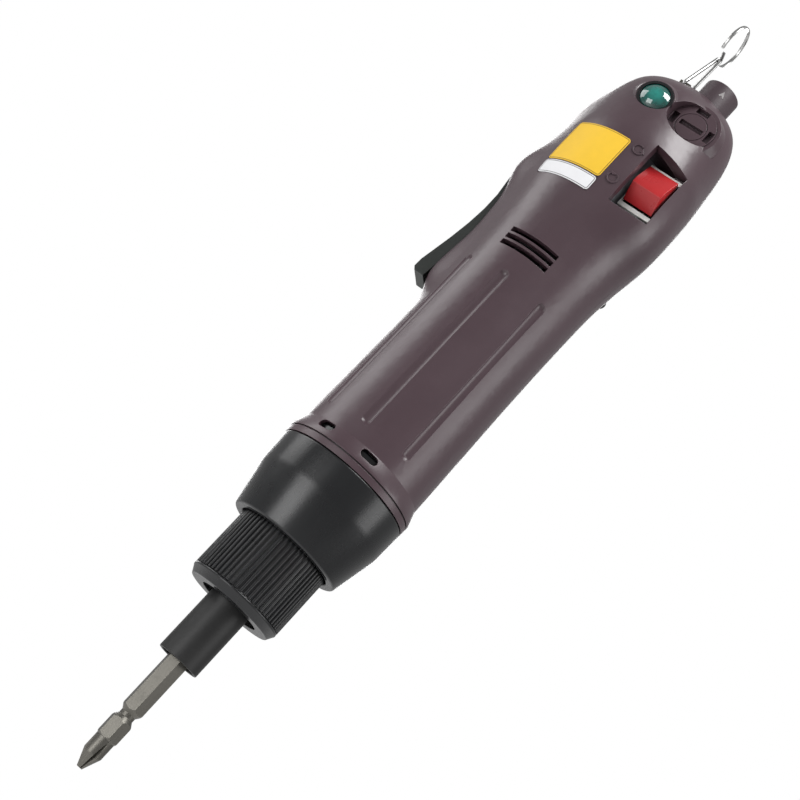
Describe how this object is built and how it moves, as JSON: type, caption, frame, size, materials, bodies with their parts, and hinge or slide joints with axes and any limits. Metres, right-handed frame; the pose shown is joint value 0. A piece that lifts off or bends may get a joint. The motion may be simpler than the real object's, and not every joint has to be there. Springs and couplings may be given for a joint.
{
  "type": "electric screwdriver",
  "caption": "Inline electric screwdriver: lever start, torque nut, quick-release bit holder, reversing rocker, lamp, cord socket and hanging bail.",
  "frame": {"origin": "tip of the driver bit", "axes": "+Z along the tool axis towards the tail, -Y the front with labels and reversing switch, -X the start lever's side"},
  "size_m": [0.0563, 0.0492, 0.3197],
  "materials": {
    "housing_plastic": "satin moulded plastic",
    "black_plastic": "satin black plastic",
    "dark_steel": "blackened steel",
    "bright_steel": "ground steel",
    "spring_steel": "spring wire",
    "gear_steel": "hardened steel",
    "die_cast": "as cast",
    "bronze": "sintered bronze",
    "motor_steel": "zinc plated",
    "magnet": "sintered ferrite",
    "copper": "enamelled copper",
    "carbon": "carbon",
    "fan_plastic": "moulded",
    "white_plastic": "moulded",
    "red_plastic": "moulded",
    "green_lens": "clear tinted plastic",
    "white_label": "printed film",
    "yellow_label": "printed film",
    "board": "laminate"
  },
  "bodies": {
    "housing": {"front_shell": "housing_plastic", "rear_shell": "housing_plastic", "nose_cap": "black_plastic", "gear_case": "die_cast", "ring_gear": "gear_steel", "spindle_bearings": "bronze", "motor_bearings": "bright_steel", "motor_can": "motor_steel", "motor_magnets": "magnet", "brush_holders": "black_plastic", "carbon_brushes": "carbon", "brush_springs": "spring_steel", "brush_caps": "housing_plastic", "cap_collars": "housing_plastic", "lever_pin": "bright_steel", "lever_spring": "spring_steel", "start_switch": "black_plastic", "switch_body": "black_plastic", "switch_bezel": "white_plastic", "lamp_holder": "black_plastic", "lamp_lens": "green_lens", "number_label": "white_label", "colour_label": "yellow_label", "circuit_board": "board", "housing_screws": "dark_steel", "cord_socket": "housing_plastic", "socket_insert": "black_plastic", "bail_anchor": "bright_steel", "shoulder_plug": "black_plastic", "torque_spring": "spring_steel"},
    "rotor": {"motor_shaft": "bright_steel", "rotor_core": "motor_steel", "rotor_windings": "copper", "commutator": "copper", "cooling_fan": "fan_plastic", "input_sun": "gear_steel"},
    "middle_carrier": {"middle_carrier": "gear_steel"},
    "output_shaft": {"output_carrier": "gear_steel", "clutch_balls": "bright_steel", "spindle": "dark_steel", "snap_ring": "dark_steel", "lock_balls": "bright_steel", "bit": "bright_steel", "sleeve_spring": "spring_steel"},
    "driven_cam": {"driven_cam": "gear_steel"},
    "clutch_thrust": {"thrust_plate": "bright_steel", "thrust_ring": "bright_steel"},
    "spring_seat": {"spring_seat": "spring_steel"},
    "torque_nut": {"torque_nut": "black_plastic"},
    "bit_sleeve": {"bit_sleeve": "dark_steel"},
    "start_lever": {"start_lever": "black_plastic"},
    "switch_plunger": {"switch_plunger": "black_plastic"},
    "reverse_rocker": {"reverse_rocker": "red_plastic"},
    "hanging_bail": {"hanging_bail": "bright_steel"},
    "input_planet_1": {"input_planet_1": "gear_steel"},
    "input_planet_2": {"input_planet_2": "gear_steel"},
    "input_planet_3": {"input_planet_3": "gear_steel"},
    "output_planet_1": {"output_planet_1": "gear_steel"},
    "output_planet_2": {"output_planet_2": "gear_steel"},
    "output_planet_3": {"output_planet_3": "gear_steel"}
  },
  "joints": [
    {"name": "rotor_spin", "type": "hinge", "parent": "housing", "child": "rotor", "pos_m": [0, 0, 0.23], "axis": [0, 0, 1], "continuous": true},
    {"name": "middle_carrier_spin", "type": "hinge", "parent": "housing", "child": "middle_carrier", "pos_m": [0, 0, 0.165], "axis": [0, 0, 1], "continuous": true},
    {"name": "output_spin", "type": "hinge", "parent": "housing", "child": "output_shaft", "pos_m": [0, 0, 0.15], "axis": [0, 0, 1], "continuous": true},
    {"name": "input_planet_1_spin", "type": "hinge", "parent": "middle_carrier", "child": "input_planet_1", "pos_m": [0.0093, 0, 0.17], "axis": [0, 0, 1], "continuous": true},
    {"name": "input_planet_2_spin", "type": "hinge", "parent": "middle_carrier", "child": "input_planet_2", "pos_m": [-0.00465, 0.00805, 0.17], "axis": [0, 0, 1], "continuous": true},
    {"name": "input_planet_3_spin", "type": "hinge", "parent": "middle_carrier", "child": "input_planet_3", "pos_m": [-0.00465, -0.00805, 0.17], "axis": [0, 0, 1], "continuous": true},
    {"name": "output_planet_1_spin", "type": "hinge", "parent": "output_shaft", "child": "output_planet_1", "pos_m": [0.0093, 0, 0.157], "axis": [0, 0, 1], "continuous": true},
    {"name": "output_planet_2_spin", "type": "hinge", "parent": "output_shaft", "child": "output_planet_2", "pos_m": [-0.00465, 0.00805, 0.157], "axis": [0, 0, 1], "continuous": true},
    {"name": "output_planet_3_spin", "type": "hinge", "parent": "output_shaft", "child": "output_planet_3", "pos_m": [-0.00465, -0.00805, 0.157], "axis": [0, 0, 1], "continuous": true},
    {"name": "clutch_lift", "type": "slide", "parent": "housing", "child": "clutch_thrust", "axis": [0, 0, -1], "range_m": [0, 0.0012], "stiffness_N_per_m": 6000, "springref_m": -0.004},
    {"name": "driven_cam_lift", "type": "slide", "parent": "output_shaft", "child": "driven_cam", "axis": [0, 0, -1], "range_m": [0, 0.00121]},
    {"name": "spring_seat_slide", "type": "slide", "parent": "housing", "child": "spring_seat", "axis": [0, 0, 1], "range_m": [-0.00301, 0.00501], "deforming": ["torque_spring"]},
    {"name": "torque_nut_turn", "type": "hinge", "parent": "spring_seat", "child": "torque_nut", "pos_m": [0, 0, 0.08], "axis": [0, 0, 1], "range_deg": [-720, 1200]},
    {"name": "bit_sleeve_slide", "type": "slide", "parent": "output_shaft", "child": "bit_sleeve", "axis": [0, 0, 1], "range_m": [0, 0.003], "stiffness_N_per_m": 700, "springref_m": -0.004, "deforming": ["sleeve_spring"]},
    {"name": "lever_press", "type": "hinge", "parent": "housing", "child": "start_lever", "pos_m": [-0.0235, 0, 0.2225], "axis": [0, -1, 0], "range_deg": [0, 6], "stiffness_Nm_per_rad": 0.8, "springref_deg": -8.59, "deforming": ["lever_spring"]},
    {"name": "plunger_slide", "type": "slide", "parent": "housing", "child": "switch_plunger", "axis": [1, 0, 0], "range_m": [0, 0.0013]},
    {"name": "rocker_tilt", "type": "hinge", "parent": "housing", "child": "reverse_rocker", "pos_m": [0, -0.0137, 0.2393], "axis": [1, 0, 0], "range_deg": [-10, 10]},
    {"name": "bail_swing", "type": "hinge", "parent": "housing", "child": "hanging_bail", "pos_m": [-0.006, 0, 0.2862], "axis": [0, 1, 0], "range_deg": [-80, 15]}
  ],
  "couplings": [
    {"joint": "middle_carrier_spin", "follows": "rotor_spin", "ratio": 0.2},
    {"joint": "output_spin", "follows": "rotor_spin", "ratio": 0.04},
    {"joint": "input_planet_1_spin", "follows": "rotor_spin", "ratio": -0.53333},
    {"joint": "input_planet_2_spin", "follows": "rotor_spin", "ratio": -0.53333},
    {"joint": "input_planet_3_spin", "follows": "rotor_spin", "ratio": -0.53333},
    {"joint": "output_planet_1_spin", "follows": "rotor_spin", "ratio": -0.10667},
    {"joint": "output_planet_2_spin", "follows": "rotor_spin", "ratio": -0.10667},
    {"joint": "output_planet_3_spin", "follows": "rotor_spin", "ratio": -0.10667},
    {"joint": "driven_cam_lift", "follows": "clutch_lift", "ratio": 1},
    {"joint": "spring_seat_slide", "follows": "torque_nut_turn", "m_per_rad": 0.00023873},
    {"joint": "plunger_slide", "follows": "lever_press", "m_per_rad": 0.0121}
  ]
}
